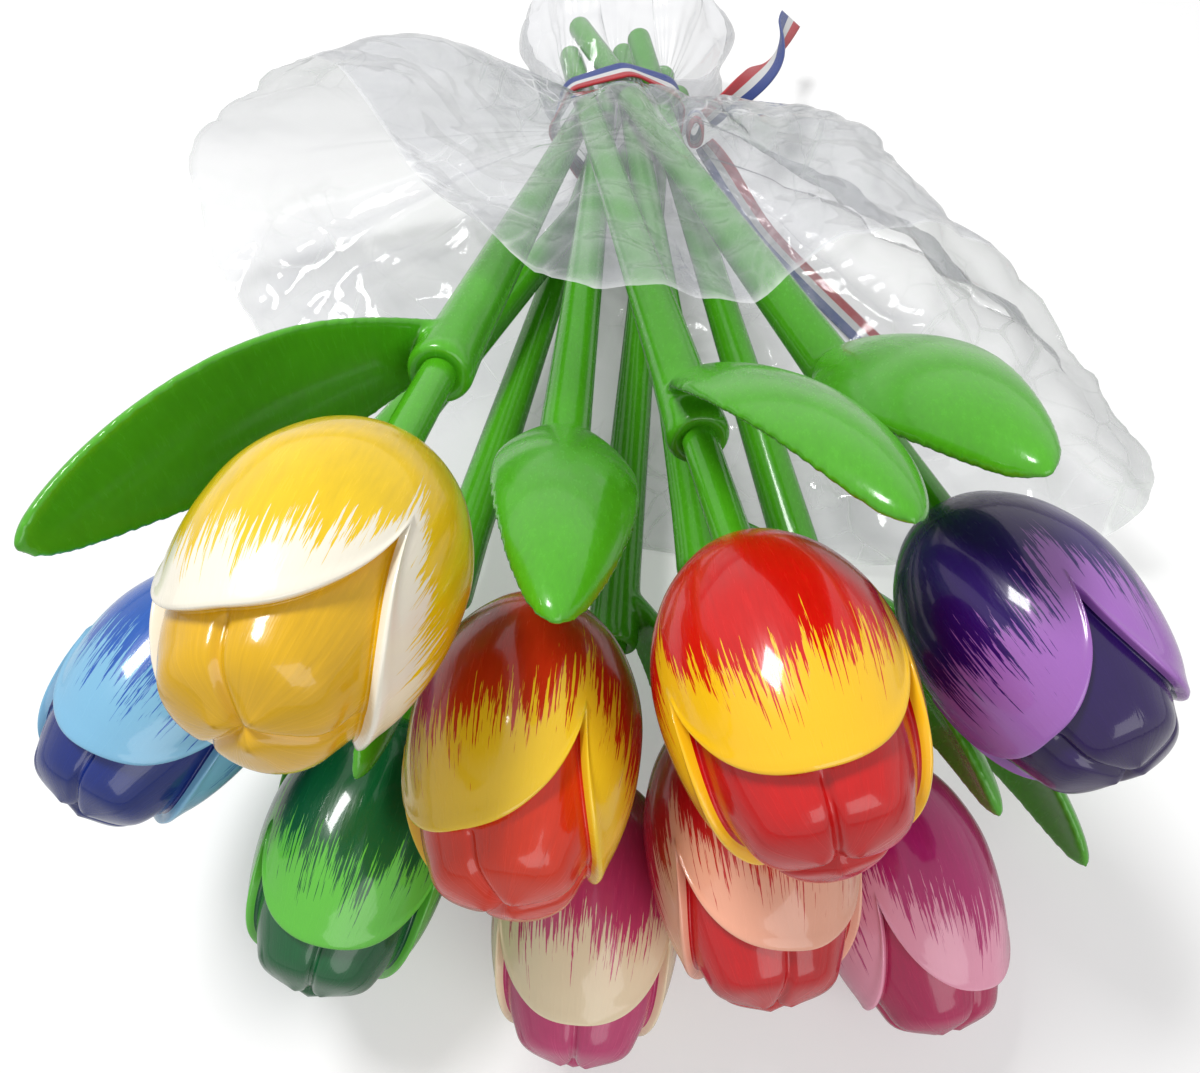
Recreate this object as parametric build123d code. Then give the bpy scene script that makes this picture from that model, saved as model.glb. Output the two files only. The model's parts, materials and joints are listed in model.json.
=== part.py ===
import os
from math import cos, radians, sin

from build123d import *

# A bunch of nine carved wooden tulips lying on a table, millimetres, +Z up.
# The blooms lie towards -Y and the stem ends towards +Y. While the pieces are
# made, Y = 0 is the middle of the tie and Z = 0 is the table.

# Whole tulip
TULIP_LENGTH = 345.0

# Bloom: a core of three inner petals inside three outer petals with raised lips
BLOOM_LENGTH = 62.0
BLOOM_DIAMETER = 44.0
BLOOM_RADIUS = BLOOM_DIAMETER / 2
LIP_STEP = 1.7
CORE_LOBE_OFFSET = 2.6
PETAL_COUNT = 3
PETAL_TURN = 360 / PETAL_COUNT
PETAL_SHOULDER = 26.0
PETAL_RISE = 27.0
PETAL_HALF_WIDTH = 19.3
# Height along the bloom and radius of the egg outline
EGG_SHARES = [(0.0, 0.34), (0.06, 0.57), (0.18, 0.82), (0.33, 0.97), (0.47, 1.0),
              (0.63, 0.95), (0.77, 0.83), (0.88, 0.64), (0.955, 0.41)]

# Upper stem: a round rod, glued in the bloom and turning in the leaf's socket
ROD_DIAMETER = 8.0
ROD_RADIUS = ROD_DIAMETER / 2
ROD_IN_BLOOM = 16.0
ROD_IN_SOCKET = 18.0
TURNING_GAP = 0.05
END_GAP = 0.3

# Lower stem: straight at its cut end, thicker towards the socket
ROD_SHOWING = 36.0
SOCKET_MOUTH = TULIP_LENGTH - BLOOM_LENGTH - ROD_SHOWING
STEM_END_RADIUS = 4.6
STEM_END_LENGTH = 28.0
STEM_MIDDLE_RADIUS = 5.1
STEM_MIDDLE_HEIGHT = 120.0
STEM_NECK_RADIUS = 6.5
STEM_NECK_BELOW_MOUTH = 22.0
STEM_NECK_HEIGHT = SOCKET_MOUTH - STEM_NECK_BELOW_MOUTH
STEM_TOP_RADIUS = 7.3
STEM_TOP_ROUND = 1.6

# Leaf blade: its middle line leaves the stem below the socket and bends outwards
LEAF_ROOT_BELOW_MOUTH = 19.0
LEAF_ROOT_HEIGHT = SOCKET_MOUTH - LEAF_ROOT_BELOW_MOUTH
LEAF_ROOT_OUT = 1.0
LEAF_LENGTH = 100.0
LEAF_WIDTH = 31.0
LEAF_THICKNESS = 5.4
LEAF_EDGE = 3.6
LEAF_HOLLOW = 4.4
LEAF_ROD_CLEARANCE = 1.2
# Handles of the middle line: outwards from the root and along the stem
LEAF_LINE_SHARES = [(0.0, 0.0), (0.15, 0.14), (0.43, 0.50), (0.42, 0.91)]
# Place along the middle line, width, thickness
LEAF_SECTION_SHARES = [(0.02, 0.36, 0.75), (0.17, 0.52, 1.0), (0.34, 0.86, 1.0),
                       (0.50, 0.98, 1.0), (0.66, 0.82, 0.95), (0.80, 0.57, 0.82),
                       (0.91, 0.31, 0.62), (0.98, 0.12, 0.42)]

# Where each tulip crosses the middle of the tie, to the right and above the table
# in shares of the pitch; its direction from there in degrees to the right and
# upwards; the stem behind the tie in shares of the tulip; the turns of the leaf
# and the bloom about the stem and the extra spread of the leaf in degrees
STEM_PITCH = 10.0
TULIP_SHARES = {
    "yellow": (-1.64, 2.44, -7.8, 23.1, 0.138, 90, 15, 4.0),
    "red_yellow": (-1.22, 3.57, 8.2, 15.5, 0.142, -17, 9, 0.7),
    "orange": (-0.55, 2.58, -3.5, 13.0, 0.149, -9, 28, 0.9),
    "purple": (0.26, 4.01, 17.3, 11.6, 0.181, 14, -58, 5.1),
    "blue": (0.63, 1.52, -23.9, 10.7, 0.148, -86, -10, 2.3),
    "green": (-0.81, 1.01, -11.7, 4.9, 0.125, 138, -12, -3.9),
    "pink": (1.51, 2.23, -5.2, 0.1, 0.104, -107, 0, 0.7),
    "red_cream": (0.54, 2.95, 4.1, 5.0, 0.130, -79, -10, 5.3),
    "magenta": (1.46, 3.50, 10.4, -2.6, 0.111, -91, -27, 1.7),
}

# Film wrap: one sheet, gathered under the ribbon, with a skirt in front of the tie
# and a sleeve round the stem ends
FILM_THICKNESS = 0.5
FILM_GATHER = 2.5
FILM_CLEARANCE = 0.6
FILM_NECK_LENGTH = 14.0
SEAM_STEPS = 4
SKIRT_WIDTH = 288.0
SKIRT_REACH = 176.0
SKIRT_HEIGHT = 104.0
SKIRT_FOLD_DEPTH = 7.0
SLEEVE_WIDTH = 74.0
SLEEVE_REACH = 64.0
SLEEVE_HEIGHT = 54.0
SLEEVE_FOLD_DEPTH = 3.0
# Mouth of the skirt from below, round by the left and over the top: to the right,
# in front of the tie and above the table
SKIRT_MOUTH_SHARES = [
    (-0.01, 0.94, 0.0), (-0.17, 0.83, 0.0), (-0.32, 0.70, 0.0), (-0.43, 0.50, 0.05),
    (-0.50, 0.30, 0.21), (-0.495, 0.22, 0.44), (-0.40, 0.29, 0.71), (-0.28, 0.41, 0.95),
    (-0.15, 0.76, 1.0), (-0.03, 0.90, 0.97), (0.085, 0.91, 0.96), (0.18, 0.80, 0.96),
    (0.30, 0.67, 0.79), (0.41, 0.80, 0.60), (0.49, 0.92, 0.37), (0.48, 0.98, 0.14),
    (0.32, 1.0, 0.08), (0.15, 0.98, 0.03)]
# Depth of the fold at each of those places, outwards or inwards
SKIRT_FOLD_SHARES = [0.0, 0.0, 0.0, -0.5, 0.9, -0.8, 0.7, 1.0, -0.9, 0.6, -0.5, 0.7, 1.0,
                     -0.9, 0.9, -0.5, 0.3, 0.0]
# Rings from the tie to the mouth: place along the skirt, opening, depth of the folds
SKIRT_RING_SHARES = [(0.0, 0.0, 0.0), (0.12, 0.20, 0.4), (0.34, 0.45, 0.9),
                     (0.66, 0.75, 1.0), (1.0, 1.0, 0.0)]
# Mouth of the sleeve in the same order: to the right, behind the tie, above the table
SLEEVE_MOUTH_SHARES = [
    (0.02, 1.0, 0.0), (-0.15, 1.0, 0.0), (-0.30, 1.0, 0.06), (-0.41, 0.97, 0.20),
    (-0.46, 0.96, 0.38), (-0.45, 0.98, 0.58), (-0.36, 0.92, 0.78), (-0.25, 1.0, 0.90),
    (-0.12, 0.94, 1.0), (0.03, 1.0, 0.96), (0.16, 0.95, 1.0), (0.30, 1.0, 0.92),
    (0.42, 0.95, 0.80), (0.52, 0.98, 0.60), (0.57, 0.95, 0.38), (0.56, 1.0, 0.12),
    (0.44, 1.0, 0.0), (0.22, 1.0, 0.0)]
SLEEVE_FOLD_SHARES = [0.0, 0.0, 0.0, 0.3, -0.3, 0.8, -0.5, 1.0, -0.6, 0.8, -0.6, 1.0, -0.5,
                      0.8, -0.3, 0.3, 0.0, 0.0]
SLEEVE_RING_SHARES = [(0.0, 0.0, 0.0), (0.25, 0.5, 0.7), (0.60, 0.9, 1.0), (1.0, 1.0, 0.0)]

# Ribbon: a band over the gathered film, its knot and two tails
RIBBON_WIDTH = 10.0
RIBBON_THICKNESS = 0.8
KNOT_WIDTH = 8.0
KNOT_LENGTH = 12.0
KNOT_HEIGHT = 13.0
KNOT_ROUND = 2.0
KNOT_MIDDLE = 24.0
KNOT_CLEARANCE = 0.3
# Middle line of the tail behind the tie and its turn about that line: right of the
# knot, behind the tie, above the middle of the knot, degrees
TAIL_STEPS = 4
BACK_TAIL_LENGTH = 75.0
BACK_TAIL_SHARES = [(0.0, 0.0, 0.06, 90), (0.09, 0.04, 0.12, 80), (0.22, 0.16, 0.14, 35),
                    (0.34, 0.36, 0.10, -20), (0.41, 0.55, 0.07, -75), (0.46, 0.72, 0.05, -120),
                    (0.52, 0.90, 0.02, -150)]
# Tail in front of the tie: right of the knot, in front of the tie, above the table
FRONT_TAIL_LENGTH = 105.0
FRONT_TAIL_SHARES = [(0.0, 0.03, 0.19, 88), (0.06, 0.08, 0.13, 60), (0.13, 0.18, 0.065, 12),
                     (0.22, 0.32, 0.02, 0), (0.36, 0.54, 0.008, 0), (0.50, 0.76, 0.008, 0),
                     (0.63, 0.96, 0.008, 0)]

OVERRUN = 1.0


def direction(azimuth, elevation):
    """Unit vector along a stem towards its bloom, and the one square to it and upwards."""
    flat = Vector(sin(radians(azimuth)), -cos(radians(azimuth)), 0)
    along = flat * cos(radians(elevation)) + Vector(0, 0, 1) * sin(radians(elevation))
    upwards = Vector(0, 0, 1) * cos(radians(elevation)) - flat * sin(radians(elevation))
    return along, upwards


def tulip_place(name, turn):
    """Place of a stem's lower end, its Z along the stem and its X turned from upwards."""
    right, up, azimuth, elevation, tail_share = TULIP_SHARES[name][:5]
    along, upwards = direction(azimuth, elevation)
    crossing = Vector(right * STEM_PITCH, 0, up * STEM_PITCH)
    start = crossing - along * tail_share * TULIP_LENGTH
    return Plane(origin=start, x_dir=upwards, z_dir=along).location * Rot(0, 0, turn)


def egg(radius, length):
    """Solid egg standing on its flat base."""
    points = [(share * radius, height * length) for height, share in EGG_SHARES]
    points.append((0, length))
    side = Spline(*points, tangents=((1, 1), (-1, 0)))
    floor = Line((0, 0), points[0])
    axis = Line((0, length), (0, 0))
    return revolve(Plane.XZ * make_face([floor, side, axis]), Axis.Z)


def rod(radius, length):
    return Cylinder(radius, length, align=(Align.CENTER, Align.CENTER, Align.MIN))


def make_bloom():
    """Bloom standing on the origin, one outer petal facing +X."""
    shell = egg(BLOOM_RADIUS, BLOOM_LENGTH + LIP_STEP)
    outline = Pos(0, PETAL_SHOULDER) * Ellipse(PETAL_HALF_WIDTH, PETAL_RISE)
    outline += Pos(0, PETAL_SHOULDER / 2) * Rectangle(2 * BLOOM_DIAMETER, PETAL_SHOULDER)
    prism = extrude(Plane.YZ * outline, BLOOM_DIAMETER)
    prisms = [Rot(0, 0, number * PETAL_TURN) * prism for number in range(PETAL_COUNT)]
    petals = shell & (prisms[0] + prisms[1:])
    lobe = egg(BLOOM_RADIUS - LIP_STEP - CORE_LOBE_OFFSET, BLOOM_LENGTH)
    lobe = Pos(CORE_LOBE_OFFSET, 0, 0) * lobe
    lobes = [Rot(0, 0, (number + 1 / 2) * PETAL_TURN) * lobe for number in range(PETAL_COUNT)]
    return petals + lobes - rod(ROD_RADIUS, ROD_IN_BLOOM)


def make_upper_stem():
    """Rod from the bottom of the socket to the bottom of the bloom's hole."""
    bottom = SOCKET_MOUTH - ROD_IN_SOCKET + END_GAP
    top = TULIP_LENGTH - BLOOM_LENGTH + ROD_IN_BLOOM
    return Pos(0, 0, bottom) * rod(ROD_RADIUS, top - bottom)


def blade_point(place_share, spread):
    """Point of the leaf's middle line and the outward direction there."""
    handles = []
    for out_share, up_share in LEAF_LINE_SHARES:
        out = out_share * LEAF_LENGTH
        up = up_share * LEAF_LENGTH
        handles.append(Vector(
            LEAF_ROOT_OUT + out * cos(radians(spread)) + up * sin(radians(spread)), 0,
            LEAF_ROOT_HEIGHT + up * cos(radians(spread)) - out * sin(radians(spread))))
    first, second, third, last = handles
    rest = 1 - place_share
    point = (first * rest**3 + second * 3 * rest**2 * place_share
             + third * 3 * rest * place_share**2 + last * place_share**3)
    along = ((second - first) * rest**2 + (third - second) * 2 * rest * place_share
             + (last - third) * place_share**2).normalized()
    return point, Vector(along.Z, 0, -along.X)


def blade_section(place_share, width_share, thickness_share, spread):
    """Section of the leaf: hollow towards the rod, round at both edges."""
    middle, outwards = blade_point(place_share, spread)
    half = width_share * LEAF_WIDTH / 2
    thick = thickness_share * LEAF_THICKNESS / 2
    edge = thickness_share * LEAF_EDGE / 2
    sag = width_share * LEAF_HOLLOW

    def at(across, out):
        return middle + Vector(0, across, 0) + outwards * out

    corners = [at(edge - half, edge - sag), at(half - edge, edge - sag),
               at(half - edge, -edge - sag), at(edge - half, -edge - sag)]
    return make_face([
        ThreePointArc(corners[0], at(0, thick), corners[1]),
        ThreePointArc(corners[1], at(half, -sag), corners[2]),
        ThreePointArc(corners[2], at(0, -thick), corners[3]),
        ThreePointArc(corners[3], at(-half, -sag), corners[0])])


def make_leaf_stem(spread):
    """Lower stem standing on the origin with its leaf towards +X and the socket."""
    side = Polyline(
        (0, 0), (STEM_END_RADIUS, 0), (STEM_END_RADIUS, STEM_END_LENGTH),
        (STEM_MIDDLE_RADIUS, STEM_MIDDLE_HEIGHT), (STEM_NECK_RADIUS, STEM_NECK_HEIGHT),
        (STEM_TOP_RADIUS, SOCKET_MOUTH - STEM_TOP_ROUND),
        (STEM_TOP_RADIUS - STEM_TOP_ROUND, SOCKET_MOUTH), (0, SOCKET_MOUTH), close=True)
    stem = revolve(Plane.XZ * make_face(side), Axis.Z)
    blade = loft([blade_section(*row, spread) for row in LEAF_SECTION_SHARES])
    clear = Pos(0, 0, SOCKET_MOUTH) * rod(ROD_RADIUS + LEAF_ROD_CLEARANCE, LEAF_LENGTH)
    bore = rod(ROD_RADIUS + TURNING_GAP, ROD_IN_SOCKET + OVERRUN)
    return stem + blade - clear - Pos(0, 0, SOCKET_MOUTH - ROD_IN_SOCKET) * bore


def stem_reach(turn, behind):
    """How far the stems reach from the middle of the tie in one direction, at one place."""
    outwards = Vector(-sin(radians(turn)), 0, -cos(radians(turn)))
    reaches = []
    for right, up, azimuth, elevation, *_ in TULIP_SHARES.values():
        along, _ = direction(azimuth, elevation)
        crossing = Vector(right * STEM_PITCH, 0, up * STEM_PITCH) + along * (behind / along.Y)
        reaches.append(crossing.dot(outwards) + STEM_MIDDLE_RADIUS / abs(along.Y))
    return max(reaches)


def hugging_ring(behind, gap):
    """Outline round all the stems, a gap away, from below round by the left."""
    count = len(SKIRT_MOUTH_SHARES)
    step = 360 / count
    ring = []
    for number in range(count):
        before = (number - 1 / 2) * step
        after = (number + 1 / 2) * step
        near = stem_reach(before, behind) + gap
        far = stem_reach(after, behind) + gap
        across = sin(radians(step))
        x = (near * cos(radians(after)) - far * cos(radians(before))) / across
        z = (far * sin(radians(before)) - near * sin(radians(after))) / across
        ring.append(Vector(x, behind, z))
    return ring


def neck_ring(place, gap):
    """Outline of the gathered film or the ribbon between the two ends of the neck."""
    half = FILM_NECK_LENGTH / 2
    behind_share = (place + half) / FILM_NECK_LENGTH
    return [front * (1 - behind_share) + back * behind_share
            for front, back in zip(hugging_ring(-half, gap), hugging_ring(half, gap))]


def ring_normals(ring):
    """Outward directions of a ring of points, seen along Y."""
    normals = []
    for number in range(len(ring)):
        along = ring[(number + 1) % len(ring)] - ring[number - 1]
        normals.append(Vector(-along.Z, 0, along.X).normalized())
    return normals


def sheet_normals(before, ring, after):
    """Outward directions square to a sheet at one of its rings of points."""
    normals = []
    for number, outwards in enumerate(ring_normals(ring)):
        around = ring[(number + 1) % len(ring)] - ring[number - 1]
        square = around.cross(after[number] - before[number]).normalized()
        normals.append(square if square.dot(outwards) > 0 else -square)
    return normals


def ring_solid(rings):
    """Ring-shaped solid through rings of points, half of them on either side of the sheet."""
    faces = []
    for place, (near, far) in enumerate(zip(rings, rings[1:] + rings[:1])):
        for number in range(len(near)):
            after = (number + 1) % len(near)
            four = [near[number], near[after], far[after], far[number]]
            # Both sides fold along the same diagonals.
            if place >= len(rings) / 2:
                four = four[1:] + four[:1]
            faces.append(Face(Wire.make_polygon([four[0], four[1], four[2]])))
            faces.append(Face(Wire.make_polygon([four[0], four[2], four[3]])))
    return Solid(Shell(faces))


def skin(rings):
    """Ring-shaped solid with its faces outwards, started at the seam, up the left side."""
    rings = [ring[SEAM_STEPS:] + ring[:SEAM_STEPS] for ring in rings]
    solid = ring_solid(rings)
    return solid if solid.volume > 0 else ring_solid(rings[::-1])


def folded_film(neck, mouth, ring_shares, fold_shares, fold_depth):
    """Film from its gathered neck to its open mouth, with its main folds."""
    outer = []
    for place_share, open_share, depth_share in ring_shares:
        ring = [Vector(a.X + (b.X - a.X) * open_share, a.Y + (b.Y - a.Y) * place_share,
                       a.Z + (b.Z - a.Z) * open_share) for a, b in zip(neck, mouth)]
        normals = ring_normals(ring)
        outer.append([point + normal * fold * depth_share * fold_depth
                      for point, normal, fold in zip(ring, normals, fold_shares)])
    inner = []
    for number, ring in enumerate(outer):
        before = outer[max(number - 1, 0)]
        after = outer[min(number + 1, len(outer) - 1)]
        normals = sheet_normals(before, ring, after)
        inner.append([point - normal * FILM_THICKNESS for point, normal in zip(ring, normals)])
    return skin(outer + inner[::-1])


def make_film():
    half = FILM_NECK_LENGTH / 2
    outside = FILM_CLEARANCE + FILM_GATHER
    neck = skin([neck_ring(-half, FILM_CLEARANCE), neck_ring(half, FILM_CLEARANCE),
                 neck_ring(half, outside), neck_ring(-half, outside)])
    skirt_mouth = [Vector(right * SKIRT_WIDTH, -front * SKIRT_REACH, up * SKIRT_HEIGHT)
                   for right, front, up in SKIRT_MOUTH_SHARES]
    skirt = folded_film(neck_ring(-half, FILM_CLEARANCE + FILM_THICKNESS), skirt_mouth,
                        SKIRT_RING_SHARES, SKIRT_FOLD_SHARES, SKIRT_FOLD_DEPTH)
    sleeve_mouth = [Vector(right * SLEEVE_WIDTH, behind * SLEEVE_REACH, up * SLEEVE_HEIGHT)
                    for right, behind, up in SLEEVE_MOUTH_SHARES]
    sleeve = folded_film(neck_ring(half, FILM_CLEARANCE + FILM_THICKNESS), sleeve_mouth,
                         SLEEVE_RING_SHARES, SLEEVE_FOLD_SHARES, SLEEVE_FOLD_DEPTH)
    return {"film_neck": neck, "film_skirt": skirt, "film_sleeve": sleeve}


def strip(stations):
    """Ribbon along a smooth line of points, with the turn of the ribbon at each point."""
    line = Spline(*[place for place, _ in stations])
    count = (len(stations) - 1) * TAIL_STEPS
    sections = []
    for number in range(count + 1):
        span = min(number // TAIL_STEPS, len(stations) - 2)
        part_share = number / TAIL_STEPS - span
        turn = stations[span][1] * (1 - part_share) + stations[span + 1][1] * part_share
        place = line @ (number / count)
        along = line % (number / count)
        across = along.cross(Vector(0, 0, 1)).normalized().rotate(Axis((0, 0, 0), along), turn)
        through = across.cross(along) * RIBBON_THICKNESS / 2
        across = across * RIBBON_WIDTH / 2
        sections.append(Face(Wire.make_polygon([
            place + across + through, place - across + through,
            place - across - through, place + across - through])))
    return loft(sections, ruled=True)


def make_ribbon():
    half = RIBBON_WIDTH / 2
    gap = FILM_CLEARANCE + FILM_GATHER
    outside = gap + RIBBON_THICKNESS
    band = skin([neck_ring(-half, gap), neck_ring(half, gap),
                 neck_ring(half, outside), neck_ring(-half, outside)])
    band_right = max(point.X for place in (-half, half) for point in neck_ring(place, outside))
    knot = Box(KNOT_WIDTH, KNOT_LENGTH, KNOT_HEIGHT)
    knot = fillet(knot.edges(), KNOT_ROUND)
    room = Box(KNOT_WIDTH + 2 * KNOT_CLEARANCE, KNOT_LENGTH + 2 * KNOT_CLEARANCE,
               KNOT_HEIGHT + 2 * KNOT_CLEARANCE)
    knot_place = Pos(band_right + KNOT_WIDTH / 2, 0, KNOT_MIDDLE)
    knot = knot_place * knot
    room = knot_place * room
    knot_right = band_right + KNOT_WIDTH
    back = [(Vector(knot_right + right * BACK_TAIL_LENGTH, behind * BACK_TAIL_LENGTH,
                    KNOT_MIDDLE + up * BACK_TAIL_LENGTH), turn)
            for right, behind, up, turn in BACK_TAIL_SHARES]
    front = [(Vector(knot_right + right * FRONT_TAIL_LENGTH, -ahead * FRONT_TAIL_LENGTH,
                     up * FRONT_TAIL_LENGTH), turn)
             for right, ahead, up, turn in FRONT_TAIL_SHARES]
    return {"ribbon_band": band, "ribbon_knot": knot, "ribbon_tail_back": strip(back) - room,
            "ribbon_tail_front": strip(front) - room}


def make_parts():
    bloom = make_bloom()
    upper_stem = make_upper_stem()
    parts = {}
    for name, (*_, leaf_turn, bloom_turn, spread) in TULIP_SHARES.items():
        head = tulip_place(name, bloom_turn)
        lower = tulip_place(name, leaf_turn)
        parts["bloom_" + name] = head * Pos(0, 0, TULIP_LENGTH - BLOOM_LENGTH) * bloom
        parts["upper_stem_" + name] = head * upper_stem
        parts["leaf_stem_" + name] = lower * make_leaf_stem(spread)
    parts.update(make_film())
    parts.update(make_ribbon())
    return parts


parts = make_parts()

# The finished bunch stands with the middle of its floor area at the origin.
box = Compound(children=[Compound(shape.solids()) for shape in parts.values()]).bounding_box()
PLACE = Pos(-(box.min.X + box.max.X) / 2, -(box.min.Y + box.max.Y) / 2, -box.min.Z)

os.makedirs("parts", exist_ok=True)
for name, shape in parts.items():
    export_step(PLACE * shape, "parts/" + name + ".step")
    print(name, round(shape.volume), shape.is_valid, len(shape.solids()))
print("size", [round(value, 2) for value in box.size], "shift", PLACE.position)
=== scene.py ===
# %% [markdown]
# # A bunch of wooden tulips
# Nine painted wooden tulips lie on a table, gathered in clear film and tied with a
# striped ribbon. The CAD model already has the thin rods in their real shape, so this
# scene only paints those. It remakes what needs finer form: the carved blooms, the
# rounded leaves, the crinkled film and the woven ribbon.

# %% Load the frame
import json
from math import cos, radians, sin, tau

import bmesh
import bpy
import numpy as np
from mathutils import Matrix, Vector, noise


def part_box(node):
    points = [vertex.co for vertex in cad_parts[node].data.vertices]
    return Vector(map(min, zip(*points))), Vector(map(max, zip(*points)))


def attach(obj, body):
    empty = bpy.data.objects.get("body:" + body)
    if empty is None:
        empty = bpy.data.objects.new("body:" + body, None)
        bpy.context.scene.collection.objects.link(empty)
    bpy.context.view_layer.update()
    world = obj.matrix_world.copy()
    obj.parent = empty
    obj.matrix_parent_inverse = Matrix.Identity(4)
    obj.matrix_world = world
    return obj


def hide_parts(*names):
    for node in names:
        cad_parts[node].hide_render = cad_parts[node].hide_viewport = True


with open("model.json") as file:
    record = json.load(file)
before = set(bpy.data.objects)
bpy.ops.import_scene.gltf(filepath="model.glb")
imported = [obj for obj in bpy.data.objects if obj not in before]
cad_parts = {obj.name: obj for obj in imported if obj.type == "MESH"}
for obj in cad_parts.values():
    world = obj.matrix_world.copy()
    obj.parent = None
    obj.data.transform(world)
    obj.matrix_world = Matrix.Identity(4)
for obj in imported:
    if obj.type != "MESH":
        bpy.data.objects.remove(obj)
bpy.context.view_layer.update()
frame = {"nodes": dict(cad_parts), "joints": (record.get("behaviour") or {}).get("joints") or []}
print("the CAD model has", len(frame["nodes"]), "nodes")

# %% [markdown]
# ## Sizes
# Every size is in millimetres and is multiplied by MM where a mesh is made. The
# blooms, the leaves and the film start from the sizes of the CAD model, so that the
# fine pieces lie where the plain ones are.

# %% Sizes
MM = 0.001

TULIP_LENGTH = 345.0
BLOOM_LENGTH = 62.0
BLOOM_RADIUS = 22.0
LIP_STEP = 1.7
CORE_LOBE_OFFSET = 3.2
PETAL_SHOULDER = 26.0
PETAL_RISE = 28.5
PETAL_HALF_WIDTH = 19.3
ARCH_POWER = 2.3
# Height share and radius share of the egg, and of the core inside its outer petals
EGG_SHARES = [(0.0, 0.34), (0.06, 0.57), (0.18, 0.82), (0.33, 0.97), (0.47, 1.0),
              (0.63, 0.95), (0.77, 0.83), (0.88, 0.64), (0.955, 0.41), (1.0, 0.0)]
CORE_SHARES = [(0.0, 0.34), (0.06, 0.57), (0.18, 0.82), (0.33, 0.97), (0.47, 1.0),
               (0.63, 0.95), (0.77, 0.84), (0.88, 0.68), (0.955, 0.49), (1.0, 0.0)]

# Turn of each bloom about its stem, in degrees
BLOOM_TURNS = {"yellow": 15, "red_yellow": 9, "orange": 28, "purple": -58, "blue": -10,
               "green": -12, "pink": 0, "red_cream": -10, "magenta": -27}

# Turn of each leaf about its stem and how far it is spread from it, in degrees
LEAF_TURNS = {"yellow": (90, 4.0), "red_yellow": (-17, 0.7), "orange": (-9, 0.9),
              "purple": (14, 5.1), "blue": (-86, 2.3), "green": (138, -3.9),
              "pink": (-107, 0.7), "red_cream": (-79, 5.3), "magenta": (-91, 1.7)}
SOCKET_MOUTH = 247.0

STEM_RADIUS = 5.1
FILM_CLEARANCE = 0.6
FILM_GATHER = 2.5
NECK_LENGTH = 14.0
print("a tulip is", TULIP_LENGTH, "mm long")

# %% [markdown]
# ## Where each tulip lies
# A joint in the frame knows the axis of its stem and the middle of its socket. From
# these two a matrix is built that takes a shape standing on the origin to its place
# in the bunch: Z runs along the stem, and X points upwards before the bloom's turn.

# %% Find the places of the tulips
joints = {joint["name"]: joint for joint in frame["joints"]}
tulips = {}
for name, turn in BLOOM_TURNS.items():
    joint = joints["turn_" + name]
    along = Vector(joint["axis"]).normalized()
    upwards = (Vector((0, 0, 1)) - along * along.z).normalized()
    sideways = along.cross(upwards)
    start = Vector(joint["pos_m"]) - along * SOCKET_MOUTH * MM
    place = Matrix((upwards, sideways, along)).transposed().to_4x4()
    place.translation = start
    leaf_turn = Matrix.Rotation(radians(LEAF_TURNS[name][0]), 4, "Z")
    tulips[name] = {"along": along, "start": start, "leaf_place": place @ leaf_turn,
                    "place": place @ Matrix.Rotation(radians(turn), 4, "Z")}
neck_low, neck_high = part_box("film_neck")
TIE = (neck_low.y + neck_high.y) / 2
print(len(tulips), "tulips cross the tie at Y =", round(TIE, 4))

# %% [markdown]
# ## Smooth lines
# A few given points are enough for an outline when a smooth curve runs
# through them. The Catmull-Rom curve does that: it passes through every point, and
# its direction at each one is parallel to the line between its two neighbours.

# %% Smooth lines through points
def smooth(points, count, closed=False):
    """Points at even steps along a smooth curve through a short list of points."""
    points = np.array(points, float)
    if closed:
        line = np.vstack([points[-1], points, points[0], points[1]])
        spans = len(points)
    else:
        line = np.vstack([2 * points[0] - points[1], points, 2 * points[-1] - points[-2]])
        spans = len(points) - 1
    steps = np.linspace(0, spans, count, endpoint=not closed)
    span = np.minimum(steps.astype(int), spans - 1)
    part = (steps - span)[:, None]
    a, b, c, d = line[span], line[span + 1], line[span + 2], line[span + 3]
    return 0.5 * (2 * b + (c - a) * part + (2 * a - 5 * b + 4 * c - d) * part**2
                  + (3 * b - a - 3 * c + d) * part**3)


def steady(value, low, high):
    """0 below low, 1 above high and a soft step between them."""
    share = np.clip((value - low) / (high - low), 0, 1)
    return share * share * (3 - 2 * share)


egg_line = smooth(EGG_SHARES, 400)
core_line = smooth(CORE_SHARES, 400)
print("egg outlines of", len(egg_line), "points")


def egg_radius(height, radius, length, line):
    """Radius of an egg at a height above its base."""
    heights = np.maximum.accumulate(line[:, 0])
    return radius * np.interp(height / length, heights, line[:, 1], right=-1)


# %% [markdown]
# ## The blooms
# A wooden tulip is an egg turned on a lathe. Then three outer petals are carved with
# an arched, raised lip, and the core inside them is cut into three closed petals, so
# that a groove like the letter Y shows at the tip. Here one line of vertices is spun
# into a round grid, and each vertex is then moved onto the carved form. The rows are
# spread so that they follow the lip, which stays crisp without a dense mesh.

# %% Sizes of a bloom
COLUMNS = 216
PETAL_ROWS = 44
LIP_ROWS = 8
CORE_ROWS = 38
HALVINGS = 34
# Rays run from this height inside the bloom out to its surface
RAY_HEIGHT = 30.0
BASE_RADIUS = 0.34 * BLOOM_RADIUS
# Below 1 this draws the rows closer together towards the lip
ROW_POWER = 0.9
# Length of a ray to the lip, width of the lip and where it falls to the core
LIP_REACH = 24.0
LIP_WIDTH = 1.6
LIP_FALL = (0.42, 0.86)
# Height, place and squared width of the swell below the lip
LIP_SWELL = 0.5
SWELL_BELOW = 0.9
SWELL_SPREAD = 0.9
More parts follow.
